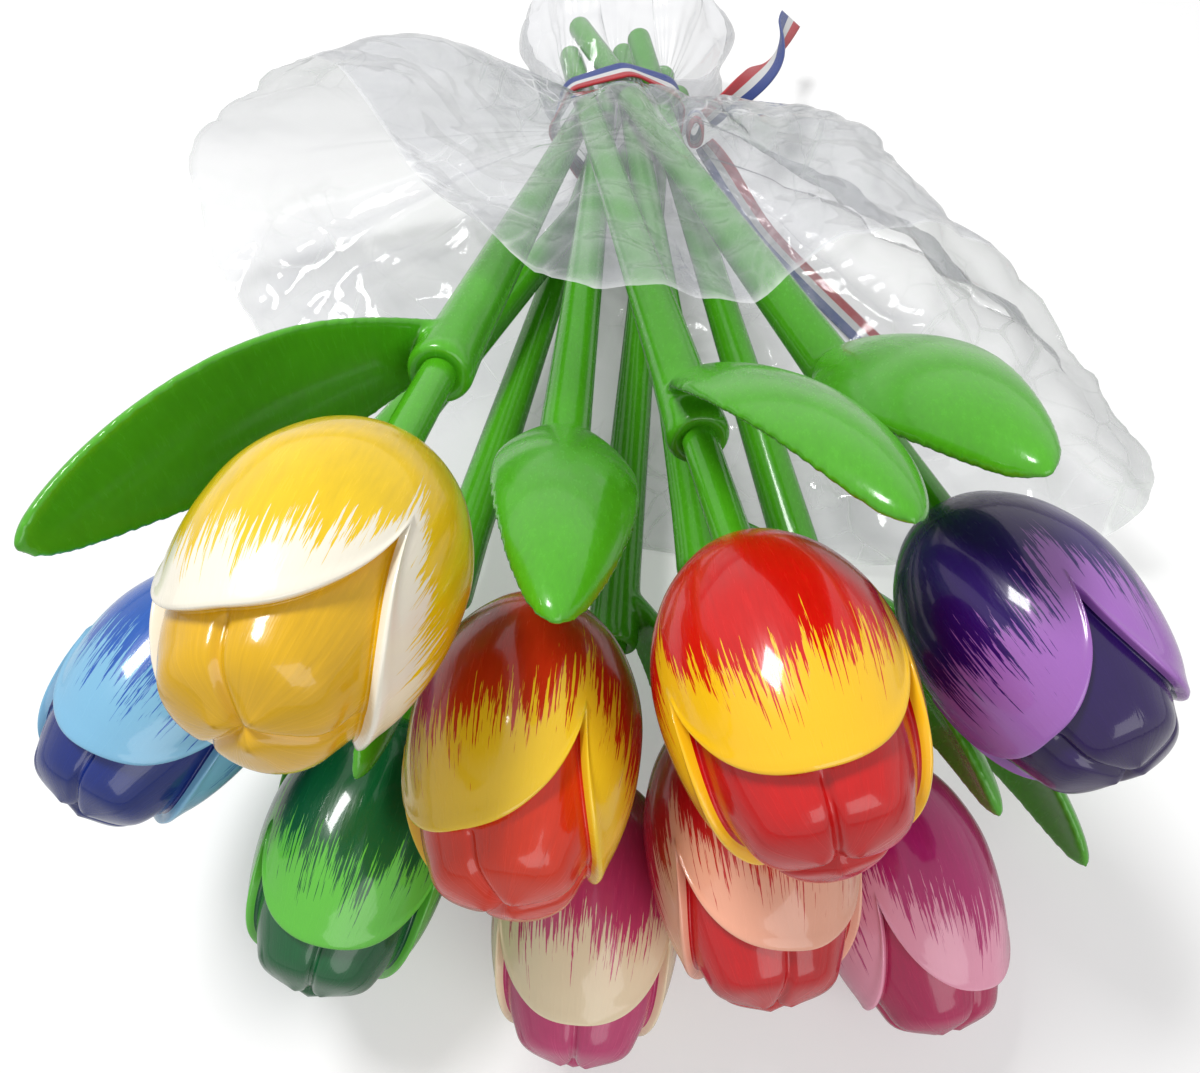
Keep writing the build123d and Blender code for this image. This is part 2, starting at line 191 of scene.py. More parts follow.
# Millimetres along a petal for each radian of a ray's angle
PETAL_REACH = 25.0
CORE_SINK = 0.9
LOBE_RADIUS = BLOOM_RADIUS - LIP_STEP - CORE_LOBE_OFFSET - CORE_SINK
GROOVE_DEPTH = 0.9
GROOVE_WIDTH = 0.8
GROOVE_START = 0.12
print("rays start", RAY_HEIGHT, "mm above the base of a bloom")

# %% [markdown]
# Each vertex is found by a ray from inside the bloom. Halving a stretch of the ray again
# and again finds where it leaves a form, whatever that form is. The shell is one egg,
# and the core is three smaller eggs that stand a little apart.

# %% Rays through the shell and the core
def outside_along(turn, polar, inside):
    """How far a ray from inside the bloom runs before it leaves the form."""
    near = np.zeros_like(turn)
    far = np.full_like(turn, 2 * BLOOM_RADIUS)
    for _ in range(HALVINGS):
        middle = (near + far) / 2
        reach = middle * np.sin(polar)
        here = inside(reach * np.cos(turn), reach * np.sin(turn),
                      RAY_HEIGHT + middle * np.cos(polar))
        near = np.where(here, middle, near)
        far = np.where(here, far, middle)
    return near


def in_shell(x, y, z):
    """Whether points lie inside the egg whose outside is the outer petals."""
    return np.hypot(x, y) < egg_radius(z, BLOOM_RADIUS, BLOOM_LENGTH + LIP_STEP, egg_line)


def in_core(x, y, z):
    """Whether points lie inside one of the core's three lobes."""
    radius = egg_radius(z, LOBE_RADIUS, BLOOM_LENGTH, core_line)
    found = np.zeros(x.shape, bool)
    for number in range(3):
        lobe_turn = (number + 0.5) * tau / 3
        found |= np.hypot(x - CORE_LOBE_OFFSET * np.cos(lobe_turn),
                          y - CORE_LOBE_OFFSET * np.sin(lobe_turn)) < radius
    return found


print("the core's lobes stand", CORE_LOBE_OFFSET, "mm from the axis")

# %% [markdown]
# Seen from its side, an outer petal ends in an arch. The arch is cut through the egg, so
# the edge lies where the egg is just as wide as the arch.

# %% The arched lip
def from_petal(turn):
    """Turn from the middle of the nearest outer petal."""
    return (turn + tau / 6) % (tau / 3) - tau / 6


def lip_height(turn):
    """Height of the arched edge of the outer petals at each turn."""
    side = np.abs(np.sin(from_petal(turn)))
    low = np.full_like(turn, PETAL_SHOULDER)
    high = np.full_like(turn, PETAL_SHOULDER + PETAL_RISE)
    for _ in range(HALVINGS):
        middle = (low + high) / 2
        height = np.clip((middle - PETAL_SHOULDER) / PETAL_RISE, 0, 1)
        arch = PETAL_HALF_WIDTH * (1 - height**ARCH_POWER)**(1 / ARCH_POWER)
        radius = egg_radius(middle, BLOOM_RADIUS, BLOOM_LENGTH + LIP_STEP, egg_line)
        under = radius * side < arch
        low = np.where(under, middle, low)
        high = np.where(under, high, middle)
    return low


print("a petal is", round(float(lip_height(np.zeros(1))[0]), 1), "mm high at its middle")

# %% [markdown]
# The rows are shared out between the petals, their lips and the core. The step from
# petal to core takes a few rows, so that the lip is rounded and not a knife's edge.

# %% Rows of a bloom
def bloom_form(turn, row):
    """Place, distance below the lip and share of outer petal at each turn and row."""
    edge = lip_height(turn)
    edge_radius = egg_radius(edge, BLOOM_RADIUS, BLOOM_LENGTH + LIP_STEP, egg_line)
    edge_polar = np.arctan2(edge_radius, edge - RAY_HEIGHT)
    base_polar = np.pi - np.arctan2(BASE_RADIUS, RAY_HEIGHT)
    lip_polar = LIP_WIDTH / LIP_REACH
    # Rows below the lip, across it and over the core, as polar angles
    below = np.clip(row / PETAL_ROWS, 0, 1)
    across = np.clip((row - PETAL_ROWS) / LIP_ROWS, 0, 1)
    over = np.clip((row - PETAL_ROWS - LIP_ROWS) / (CORE_ROWS - 1), 0, 1)
    polar = base_polar + (edge_polar + lip_polar / 2 - base_polar) * below**ROW_POWER
    polar = polar - lip_polar * across
    polar = np.where(over > 0, (edge_polar - lip_polar / 2) * (1 - over), polar)
    shell = outside_along(turn, polar, in_shell)
    core = outside_along(turn, polar, in_core)
    outer = 1 - steady(across, *LIP_FALL)
    below_lip = (polar - edge_polar) * LIP_REACH - SWELL_BELOW
    swell = LIP_SWELL * np.exp(-below_lip**2 / SWELL_SPREAD) * outer
    # The knife deepens the three grooves of the core
    from_groove = core * np.sin(polar) * np.sin(from_petal(turn))
    groove = GROOVE_DEPTH * np.exp(-(from_groove / GROOVE_WIDTH)**2)
    core = core - groove * steady(over, 0, GROOVE_START)
    reach = core + (shell + swell - core) * outer
    x = reach * np.sin(polar) * np.cos(turn)
    y = reach * np.sin(polar) * np.sin(turn)
    z = RAY_HEIGHT + reach * np.cos(polar)
    # The flat base runs in to the stem
    base = row < 0.5
    x[base] = 0
    y[base] = 0
    z[base] = z[row == 1].mean()
    distance = np.maximum(polar - edge_polar, 0) * PETAL_REACH
    return np.stack([x, y, z], 1), distance, outer


print("a bloom has", PETAL_ROWS, "rows of petal,", LIP_ROWS, "of lip and", CORE_ROWS, "of core")

# %% Marks of the knife
WAVE_LENGTH = 9.0
WAVE_SHARE = 0.004
SEED_STEP = 7.3


def carve(points, seed):
    """Slight waves that a carver's knife and sanding leave on the wood."""
    moved = points.copy()
    for number, point in enumerate(points):
        wave = noise.noise(Vector(point) / WAVE_LENGTH + Vector((seed * SEED_STEP, 0, 0)))
        moved[number] *= 1 + WAVE_SHARE * wave
    return moved


print("the knife's waves are", WAVE_LENGTH, "mm long")

# %% [markdown]
# Three attributes are stored with each vertex of a bloom: where the brush would be,
# how far below the lip the vertex lies, and whether it is on an outer petal. The paint
# reads them, so its strokes follow the petals at every turn of the bloom.

# %% Spin and carve one bloom
BRUSH_RADIUS = 18.0
WELD = 0.005


def make_bloom(name, place, seed):
    """A bloom on its stem's axis, with what its paint needs stored at each vertex."""
    rows = PETAL_ROWS + LIP_ROWS + CORE_ROWS
    shape = bmesh.new()
    line = [shape.verts.new((1, 0, row)) for row in range(rows)]
    edges = [shape.edges.new(pair) for pair in zip(line, line[1:])]
    bmesh.ops.spin(shape, geom=line + edges, cent=(0, 0, 0), axis=(0, 0, 1), angle=tau,
                   steps=COLUMNS, use_merge=True)
    grid = np.array([tuple(vert.co) for vert in shape.verts])
    turn = np.arctan2(grid[:, 1], grid[:, 0])
    row = np.round(grid[:, 2])
    points, distance, outer = bloom_form(turn, row)
    points = carve(points, seed)
    place_layer = shape.verts.layers.float_vector.new("brush_place")
    distance_layer = shape.verts.layers.float.new("lip_distance")
    outer_layer = shape.verts.layers.float.new("outer_petal")
    for number, vert in enumerate(shape.verts):
        point = points[number]
        vert.co = point * MM
        vert[place_layer] = (np.cos(turn[number]) * BRUSH_RADIUS,
                             np.sin(turn[number]) * BRUSH_RADIUS, point[2])
        vert[distance_layer] = distance[number]
        vert[outer_layer] = outer[number]
    bmesh.ops.remove_doubles(shape, verts=shape.verts, dist=WELD * MM)
    bmesh.ops.recalc_face_normals(shape, faces=shape.faces)
    for face in shape.faces:
        face.smooth = True
    mesh = bpy.data.meshes.new(name)
    shape.to_mesh(mesh)
    shape.free()
    mesh.transform(place @ Matrix.Translation((0, 0, (TULIP_LENGTH - BLOOM_LENGTH) * MM)))
    bloom = bpy.data.objects.new(name, mesh)
    bpy.context.scene.collection.objects.link(bloom)
    return bloom


print("each bloom starts as a grid of", COLUMNS, "columns")

# %% Make the nine blooms
blooms = {}
for seed, (name, tulip) in enumerate(tulips.items()):
    bloom = make_bloom("carved_bloom_" + name, tulip["place"], seed)
    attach(bloom, "head_" + name)
    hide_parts("bloom_" + name)
    blooms[name] = bloom
print(len(blooms), "blooms of", len(blooms["yellow"].data.polygons), "faces each")

# %% [markdown]
# ## Paint
# The paint is laid on with a brush that runs along the petal, so its marks are noise
# stretched in that direction. One node group makes the marks and the pores of the
# wood for every painted piece. A second one turns the distance below the lip into
# ragged strokes of the light colour.

# %% Helpers for node groups
def new_group(name, inputs, outputs):
    """A node group with named sockets, and its input and output nodes."""
    group = bpy.data.node_groups.new(name, "ShaderNodeTree")
    for socket, kind, default in inputs:
        made = group.interface.new_socket(socket, in_out="INPUT", socket_type=kind)
        if default is not None:
            made.default_value = default
    for socket, kind in outputs:
        group.interface.new_socket(socket, in_out="OUTPUT", socket_type=kind)
    return group, group.nodes.new("NodeGroupInput"), group.nodes.new("NodeGroupOutput")


def node(tree, kind, links=(), **values):
    """A node with its properties or inputs set and its inputs linked."""
    made = tree.nodes.new(kind)
    for key, value in values.items():
        if hasattr(made, key):
            setattr(made, key, value)
    for socket, source in links:
        if isinstance(source, (int, float, tuple)):
            made.inputs[socket].default_value = source
        else:
            tree.links.new(source, made.inputs[socket])
    return made


def maths(tree, operation, first, second=0.0, third=0.0, clamp=False):
    """The output of a math node."""
    made = node(tree, "ShaderNodeMath", [(0, first), (1, second), (2, third)],
                operation=operation)
    made.use_clamp = clamp
    return made.outputs[0]


def mix_colours(tree, share, first, second):
    """The colour a share of the way from the first to the second."""
    made = node(tree, "ShaderNodeMix", data_type="RGBA")
    for socket, source in ((0, share), (6, first), (7, second)):
        if isinstance(source, (int, float, tuple)):
            made.inputs[socket].default_value = source
        else:
            tree.links.new(source, made.inputs[socket])
    return made.outputs[2]


FLOAT = "NodeSocketFloat"
COLOUR = "NodeSocketColor"
VECTOR = "NodeSocketVector"
print("helpers for the paint's nodes are ready")

# %% Brush marks and pores
marks, given, out = new_group(
    "Brush marks", [("Place", VECTOR, None), ("Colour", COLOUR, (0.5, 0.5, 0.5, 1))],
    [("Colour", COLOUR), ("Roughness", FLOAT), ("Height", FLOAT)])
streaks = node(marks, "ShaderNodeTexNoise", [
    ("Vector", node(marks, "ShaderNodeMapping", [("Vector", given.outputs[0]),
                                                 ("Scale", (1.0, 1.0, 0.12))]).outputs[0]),
    ("Scale", 1.3), ("Detail", 4.0), ("Roughness", 0.6)])
cloud = node(marks, "ShaderNodeTexNoise", [("Vector", given.outputs[0]), ("Scale", 0.09),
                                           ("Detail", 3.0)])
pores = node(marks, "ShaderNodeTexVoronoi", [("Vector", given.outputs[0]), ("Scale", 0.55)])
pits = maths(marks, "LESS_THAN", pores.outputs["Distance"], 0.09)
shade = maths(marks, "MULTIPLY_ADD", streaks.outputs[0], 0.5, 0.32)
shade = maths(marks, "MULTIPLY_ADD", cloud.outputs[0], 0.5, shade, clamp=True)
dark = mix_colours(marks, 0.55, given.outputs[1], (0.0, 0.0, 0.0, 1))
painted = mix_colours(marks, shade, dark, given.outputs[1])
marks.links.new(painted, out.inputs[0])
marks.links.new(maths(marks, "MULTIPLY_ADD", streaks.outputs[0], 0.22, 0.14), out.inputs[1])
marks.links.new(maths(marks, "SUBTRACT", streaks.outputs[0], pits), out.inputs[2])
print("brush marks with", len(marks.nodes), "nodes")

# %% Ragged strokes of the light colour
PETAL_LIMIT = 0.35

strokes, given, out = new_group(
    "Ragged strokes",
    [("Place", VECTOR, None), ("Distance", FLOAT, 0.0), ("Outer petal", FLOAT, 1.0),
     ("Reach", FLOAT, 18.0)], [("Mask", FLOAT)])
flat = node(strokes, "ShaderNodeMapping", [("Vector", given.outputs[0]),
                                           ("Scale", (1.0, 1.0, 0.035))])
broad = node(strokes, "ShaderNodeTexNoise", [("Vector", flat.outputs[0]), ("Scale", 0.32),
                                             ("Detail", 1.0)])
fine = node(strokes, "ShaderNodeTexNoise", [("Vector", flat.outputs[0]), ("Scale", 2.1),
                                            ("Detail", 3.0), ("Roughness", 0.7)])
length = maths(strokes, "MULTIPLY_ADD", broad.outputs[0], 0.6, -0.74)
length = maths(strokes, "MULTIPLY_ADD", fine.outputs[0], 2.1, length)
length = maths(strokes, "MULTIPLY", length, given.outputs[3])
mask = maths(strokes, "SUBTRACT", length, given.outputs[1])
mask = maths(strokes, "MULTIPLY", mask, 0.9, clamp=True)
mask = maths(strokes, "MULTIPLY", mask,
             maths(strokes, "GREATER_THAN", given.outputs[2], PETAL_LIMIT))
strokes.links.new(mask, out.inputs[0])
print("ragged strokes with", len(strokes.nodes), "nodes")


# %% Paint of a bloom
def bloom_paint(name, petal, lip, core, reach, offset):
    """Lacquered paint: petal colour, light strokes from the lip and the core's colour, which is
    partly painted shade.
    """
    material = bpy.data.materials.new("paint_" + name)
    material.use_nodes = True
    tree = material.node_tree
    shader = tree.nodes["Principled BSDF"]
    place = node(tree, "ShaderNodeAttribute", attribute_name="brush_place")
    moved = node(tree, "ShaderNodeMapping", [("Vector", place.outputs["Vector"]),
                                             ("Location", (offset * 31.0, offset * 17.0, 0.0))])
    distance = node(tree, "ShaderNodeAttribute", attribute_name="lip_distance")
    outer = node(tree, "ShaderNodeAttribute", attribute_name="outer_petal")
    ragged = node(tree, "ShaderNodeGroup", node_tree=strokes)
    tree.links.new(moved.outputs[0], ragged.inputs["Place"])
    tree.links.new(distance.outputs["Fac"], ragged.inputs["Distance"])
    tree.links.new(outer.outputs["Fac"], ragged.inputs["Outer petal"])
    ragged.inputs["Reach"].default_value = reach
    on_petal = maths(tree, "GREATER_THAN", outer.outputs["Fac"], PETAL_LIMIT)
    # The core colour is partly painted shade of the core's recess inside the outer petals
    colour = mix_colours(tree, on_petal, (*core, 1), (*petal, 1))
    brushed = node(tree, "ShaderNodeGroup", node_tree=marks)
    tree.links.new(moved.outputs[0], brushed.inputs["Place"])
    tree.links.new(colour, brushed.inputs["Colour"])
    painted = mix_colours(tree, ragged.outputs[0], brushed.outputs["Colour"], (*lip, 1))
    tree.links.new(painted, shader.inputs["Base Color"])
    tree.links.new(brushed.outputs["Roughness"], shader.inputs["Roughness"])
    thick = maths(tree, "MULTIPLY_ADD", ragged.outputs[0], 0.6, brushed.outputs["Height"])
    bump = node(tree, "ShaderNodeBump", [("Strength", 0.28), ("Distance", 0.0002),
                                         ("Height", thick)])
    tree.links.new(bump.outputs[0], shader.inputs["Normal"])
    shader.inputs["Coat Weight"].default_value = 0.55
    shader.inputs["Coat Roughness"].default_value = 0.07
    shader.inputs["Specular IOR Level"].default_value = 0.22
    return material


# Petal, lip and core colours, and how far the strokes reach from the lip in millimetres.
# Most cores are darker than their petals: partly the core's own tone, partly painted shade
# of the core sunk inside the outer petals.
PAINTS = {
    "yellow": ((0.93, 0.62, 0.004), (0.88, 0.83, 0.70), (0.76, 0.43, 0.003), 17),
    "red_yellow": ((0.70, 0.004, 0.003), (0.90, 0.52, 0.010), (0.58, 0.003, 0.003), 25),
    "orange": ((0.56, 0.026, 0.005), (0.80, 0.53, 0.016), (0.68, 0.030, 0.003), 27),
    "purple": ((0.028, 0.004, 0.14), (0.34, 0.13, 0.48), (0.017, 0.003, 0.08), 26),
    "blue": ((0.006, 0.10, 0.48), (0.20, 0.46, 0.68), (0.004, 0.020, 0.18), 26),
    "green": ((0.004, 0.10, 0.025), (0.11, 0.48, 0.045), (0.004, 0.10, 0.028), 24),
    "pink": ((0.66, 0.055, 0.19), (0.88, 0.74, 0.50), (0.58, 0.05, 0.18), 26),
    "red_cream": ((0.58, 0.010, 0.014), (0.85, 0.42, 0.29), (0.56, 0.005, 0.008), 24),
    "magenta": ((0.55, 0.018, 0.18), (0.88, 0.36, 0.50), (0.48, 0.012, 0.10), 24)}
for number, (name, (petal, lip, core, reach)) in enumerate(PAINTS.items()):
    blooms[name].data.materials.append(bloom_paint(name, petal, lip, core, reach, number))
print(len(PAINTS), "bloom paints")

# %% [markdown]
# ## Stems and leaves
# A leaf and its thick lower stem are carved from one piece of wood. The stem is a line
# spun round its axis, and the leaf is a grid wrapped round a bent middle line. A voxel
# remesh joins the two, and smoothing rounds the joint as sanding does.

# %% Sizes of a leaf and its stem
# Radius and height of the turned stem, with the socket at its end
STEM_LINE = [(0.0, 0.0), (4.1, 0.0), (4.6, 0.6), (4.6, 28.0), (5.1, 120.0), (6.5, 225.0),
             (7.3, 244.6), (6.9, 246.2), (5.7, 247.0), (4.9, 246.8), (4.5, 245.6), (0.0, 245.6)]
STEM_COLUMNS = 40
LEAF_ROOT = (1.0, 228.0)
LEAF_LENGTH = 100.0
LEAF_WIDTH = 31.0
LEAF_THICKNESS = 5.4
LEAF_EDGE = 3.6
LEAF_HOLLOW = 4.4
# Handles of the leaf's middle line, as shares of its length: outwards and upwards
LEAF_LINE = [(0.0, 0.0), (0.15, 0.14), (0.43, 0.50), (0.42, 0.91)]
# Place along the middle line, width share and thickness share
LEAF_SHARES = [(0.0, 0.30, 0.70), (0.10, 0.42, 0.90), (0.24, 0.66, 1.0), (0.38, 0.88, 1.0),
               (0.52, 0.98, 1.0), (0.66, 0.92, 0.97), (0.79, 0.75, 0.92), (0.90, 0.52, 0.82),
               (0.97, 0.28, 0.62), (1.0, 0.04, 0.2)]
LEAF_ROWS = 70
LEAF_COLUMNS = 56
# Power of the sine and cosine that gives the section its round edges
LEAF_ROUNDING = 0.62
LEAST_WIDTH_SHARE = 0.01
LEAF_VOXEL = 0.8
LEAF_WELD = 0.002
SANDING_ROUNDS = 5
ROD_ROOM = 5.3
ROOM_ABOVE_SOCKET = 0.5
LEAST_REACH = 0.1
print("a leaf is", LEAF_LENGTH, "mm long and", LEAF_WIDTH, "mm wide")

# %% [markdown]
# The middle line of the leaf is a Bezier curve. At each place along it a section is
# drawn square to the line. A table gives its width and thickness, and its two sides are
# bent the same way, which makes the hollow of the leaf.

# %% Rows of points round the leaf
def leaf_points(spread):
    """Rows of points round the leaf, from its root inside the stem to its tip."""
    handles = np.array(LEAF_LINE) * LEAF_LENGTH
    lean = radians(spread)
    out = LEAF_ROOT[0] + handles[:, 0] * cos(lean) + handles[:, 1] * sin(lean)
    up = LEAF_ROOT[1] + handles[:, 1] * cos(lean) - handles[:, 0] * sin(lean)
    line = np.stack([out, 0 * out, up], 1)
    table = smooth(LEAF_SHARES, LEAF_ROWS)
    angles = np.arange(LEAF_COLUMNS) * tau / LEAF_COLUMNS
    across = np.sign(np.cos(angles)) * np.abs(np.cos(angles))**LEAF_ROUNDING
    through = np.sign(np.sin(angles)) * np.abs(np.sin(angles))**LEAF_ROUNDING
    rows = []
    for place, width, thickness in table:
        place = min(place, 1)
        rest = 1 - place
        middle = (line[0] * rest**3 + line[1] * 3 * rest**2 * place
                  + line[2] * 3 * rest * place**2 + line[3] * place**3)
        along = ((line[1] - line[0]) * rest**2 + (line[2] - line[1]) * 2 * rest * place
                 + (line[3] - line[2]) * place**2)
        along /= np.linalg.norm(along)
        square = np.array([along[2], 0, -along[0]])
        half = max(width, LEAST_WIDTH_SHARE) * LEAF_WIDTH / 2
        thick = thickness * (LEAF_THICKNESS + (LEAF_EDGE - LEAF_THICKNESS) * across**2) / 2
        thick = np.minimum(thick, half)
        depth = thick * through - width * LEAF_HOLLOW * across**2
        rows.append(middle + np.outer(across * half, [0, 1, 0]) + np.outer(depth, square))
    return np.array(rows)


print("the leaf's grid has", LEAF_ROWS, "rows of", LEAF_COLUMNS, "points")

# %% Stem and leaf as closed shapes
def stem_and_leaf(spread):
    """The stem and the leaf as two closed shapes, in millimetres."""
    shape = bmesh.new()
    line = [shape.verts.new((radius, 0, height)) for radius, height in STEM_LINE]
    edges = [shape.edges.new(pair) for pair in zip(line, line[1:])]
    bmesh.ops.spin(shape, geom=line + edges, cent=(0, 0, 0), axis=(0, 0, 1), angle=tau,
                   steps=STEM_COLUMNS, use_merge=True)
    stem_verts = set(shape.verts)
    bmesh.ops.create_grid(shape, x_segments=LEAF_COLUMNS, y_segments=LEAF_ROWS - 1, size=0.5)
    points = leaf_points(spread)
    for vert in shape.verts:
        if vert not in stem_verts:
            column = round((vert.co.x + 0.5) * LEAF_COLUMNS) % LEAF_COLUMNS
            row = round((vert.co.y + 0.5) * (LEAF_ROWS - 1))
            vert.co = points[row, column]
    bmesh.ops.remove_doubles(shape, verts=shape.verts, dist=LEAF_WELD)
    bmesh.ops.holes_fill(shape, edges=shape.edges)
    bmesh.ops.recalc_face_normals(shape, faces=shape.faces)
    return shape


print("the stem's outline has", len(STEM_LINE), "points")

# %% [markdown]
# The remesh makes one skin round both shapes. Its grid leaves small steps, so every
# vertex is drawn towards its neighbours a few times. The skin is then pushed clear of
# the rod, and a leaf that touches the table is flat there.

# %% Join and sand one piece
def make_leaf_stem(name, place, spread):
    """A stem and its leaf joined into one sanded piece and laid in its place."""
    shape = stem_and_leaf(spread)
    mesh = bpy.data.meshes.new(name)
    shape.to_mesh(mesh)
    shape.free()
    made = bpy.data.objects.new(name, mesh)
    bpy.context.scene.collection.objects.link(made)
    remesh = made.modifiers.new("join", "REMESH")
    remesh.mode = "VOXEL"
    remesh.voxel_size = LEAF_VOXEL
    in_one = made.evaluated_get(bpy.context.evaluated_depsgraph_get())
    joined = bpy.data.meshes.new_from_object(in_one)
    made.modifiers.clear()
    shape = bmesh.new()
    shape.from_mesh(joined)
    bpy.data.meshes.remove(joined)
    for _ in range(SANDING_ROUNDS):
        bmesh.ops.smooth_vert(shape, verts=shape.verts, factor=0.5, use_axis_x=True,
                              use_axis_y=True, use_axis_z=True)
    for vert in shape.verts:
        # The leaf stays clear of the rod above the socket
        reach = vert.co.to_2d().length
        if vert.co.z > SOCKET_MOUTH + ROOM_ABOVE_SOCKET and reach < ROD_ROOM:
            vert.co.xy *= ROD_ROOM / max(reach, LEAST_REACH)
        vert.co *= MM
    for face in shape.faces:
        face.smooth = True
    # Where the leaf touches the table it is flat
    bmesh.ops.transform(shape, matrix=place, verts=shape.verts)
    for vert in shape.verts:
        vert.co.z = max(vert.co.z, 0)
    shape.to_mesh(mesh)
    shape.free()
    return made


print("each piece is sanded", SANDING_ROUNDS, "times")

# %% Make the nine leaves with their stems
leaf_stems = {}
for name, tulip in tulips.items():
    leaf_stem = make_leaf_stem("carved_leaf_" + name, tulip["leaf_place"], LEAF_TURNS[name][1])
    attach(leaf_stem, "stem_" + name)
    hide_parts("leaf_stem_" + name)
    leaf_stems[name] = leaf_stem
print(len(leaf_stems), "leaves of", len(leaf_stems["yellow"].data.polygons), "faces each")

# %% [markdown]
# The marks of the green paint follow the scene's coordinates in millimetres, so that
# they have their true size on every leaf and rod. Along the bunch they are drawn out.

# %% Green lacquer
LEAF_GREEN = (0.080, 0.42, 0.010, 1)
MARK_SCALE = (1000.0, 400.0, 1000.0)


def green_lacquer():
    """Thin green paint under lacquer, for the leaves and the rods."""
    material = bpy.data.materials.new("green_lacquer")
    material.use_nodes = True
    tree = material.node_tree
    shader = tree.nodes["Principled BSDF"]
    place = node(tree, "ShaderNodeTexCoord")
    scaled = node(tree, "ShaderNodeMapping", [("Vector", place.outputs["Object"]),
                                              ("Scale", MARK_SCALE)])
    brushed = node(tree, "ShaderNodeGroup", node_tree=marks)
    brushed.inputs["Colour"].default_value = LEAF_GREEN
    tree.links.new(scaled.outputs[0], brushed.inputs["Place"])
    tree.links.new(brushed.outputs["Colour"], shader.inputs["Base Color"])
    tree.links.new(brushed.outputs["Roughness"], shader.inputs["Roughness"])
    bump = node(tree, "ShaderNodeBump", [("Strength", 0.25), ("Distance", 0.0002),
                                         ("Height", brushed.outputs["Height"])])
    tree.links.new(bump.outputs[0], shader.inputs["Normal"])
    shader.inputs["Coat Weight"].default_value = 0.45
    shader.inputs["Coat Roughness"].default_value = 0.10
    shader.inputs["Specular IOR Level"].default_value = 0.25
    return material


green = green_lacquer()
for name in tulips:
    frame["nodes"]["upper_stem_" + name].material_slots[0].material = green
    leaf_stems[name].data.materials.append(green)
print("green lacquer on", 2 * len(tulips), "pieces")

# %% [markdown]
# ## The film
# The wrap is one sheet of clear film. It is gathered under the ribbon in many small
# pleats, and opens into a wide skirt in front and a narrow sleeve behind. A flat grid
# is bent into that tube: its columns run round the bunch and its rows along it. The
# creases come from the distance between the two nearest cells of a Voronoi pattern,
# which has straight valleys between flat facets, as crumpled film has.

# %% Outlines of the film
# Each mouth is given as shares of a size: to the right, away from the tie and upwards.
# Folds stand out or in at each of its points, and rings give the place between the tie
# and the mouth, how far the film has opened there and how deep the folds are.
SKIRT_SIZE = (288.0, 176.0, 104.0)
SKIRT_MOUTH = [
    (-0.01, 0.94, 0.0), (-0.17, 0.83, 0.0), (-0.32, 0.70, 0.0), (-0.43, 0.50, 0.05),
    (-0.50, 0.30, 0.21), (-0.495, 0.22, 0.44), (-0.40, 0.29, 0.71), (-0.28, 0.41, 0.95),
    (-0.15, 0.76, 1.0), (-0.03, 0.90, 0.97), (0.085, 0.91, 0.96), (0.18, 0.80, 0.96),
    (0.30, 0.67, 0.79), (0.41, 0.80, 0.60), (0.49, 0.92, 0.37), (0.48, 0.98, 0.14),
    (0.32, 1.0, 0.08), (0.15, 0.98, 0.03)]
SKIRT_FOLDS = [0.0, 0.0, 0.0, -0.5, 0.9, -0.8, 0.7, 1.0, -0.9, 0.6, -0.5, 0.7, 1.0,
               -0.9, 0.9, -0.5, 0.3, 0.0]
SKIRT_RINGS = [(0.0, 0.0, 0.0), (0.12, 0.20, 0.4), (0.34, 0.45, 0.9), (0.66, 0.75, 1.0),
               (1.0, 1.0, 0.0)]
SKIRT_FOLD_DEPTH = 7.0
SLEEVE_SIZE = (74.0, 64.0, 54.0)
SLEEVE_MOUTH = [
    (0.02, 1.0, 0.0), (-0.15, 1.0, 0.0), (-0.30, 1.0, 0.06), (-0.41, 0.97, 0.20),
    (-0.46, 0.96, 0.38), (-0.45, 0.98, 0.58), (-0.36, 0.92, 0.78), (-0.25, 1.0, 0.90),
    (-0.12, 0.94, 1.0), (0.03, 1.0, 0.96), (0.16, 0.95, 1.0), (0.30, 1.0, 0.92),
    (0.42, 0.95, 0.80), (0.52, 0.98, 0.60), (0.57, 0.95, 0.38), (0.56, 1.0, 0.12),
    (0.44, 1.0, 0.0), (0.22, 1.0, 0.0)]
SLEEVE_FOLDS = [0.0, 0.0, 0.0, 0.3, -0.3, 0.8, -0.5, 1.0, -0.6, 0.8, -0.6, 1.0, -0.5,
                0.8, -0.3, 0.3, 0.0, 0.0]
SLEEVE_RINGS = [(0.0, 0.0, 0.0), (0.25, 0.5, 0.7), (0.60, 0.9, 1.0), (1.0, 1.0, 0.0)]
SLEEVE_FOLD_DEPTH = 3.0
FILM_COLUMNS = 324
SKIRT_ROWS = 96
NECK_ROWS = 10
SLEEVE_ROWS = 40
# How loosely the film lies round the stems at the tie
NECK_LOOSENESS = 0.4
# The tables are counted from the middle of the tie, which is a little to the right of
# the middle of the whole bunch
BUNCH_SHIFT = 1.44
print("mouths with", len(SKIRT_MOUTH), "and", len(SLEEVE_MOUTH), "points")

# %% [markdown]
# Under the ribbon the film lies close round the stems, so the ring there is worked out
# from the stems. In every direction the stem that reaches farthest holds the film out.

# %% A ring that hugs the stems
def hugging_ring(behind, gap, count):
    """Outline round all the stems at one place, from below round by the left."""
    turns = np.arange(count) * tau / count
    reaches = np.full(count, -np.inf)
    for tulip in tulips.values():
        along = tulip["along"]
        travel = (TIE + behind * MM - tulip["start"].y) / along.y
        middle = tulip["start"] + along * travel
        reach = (-middle.x * np.sin(turns) - middle.z * np.cos(turns)) / MM
        reaches = np.maximum(reaches, reach + STEM_RADIUS / abs(along.y) + gap)
    slope = (np.roll(reaches, -1) - np.roll(reaches, 1)) / (2 * tau / count)
    x = -reaches * np.sin(turns) - slope * np.cos(turns)
    z = -reaches * np.cos(turns) + slope * np.sin(turns)
    return np.stack([x, np.full(count, behind), z], 1)


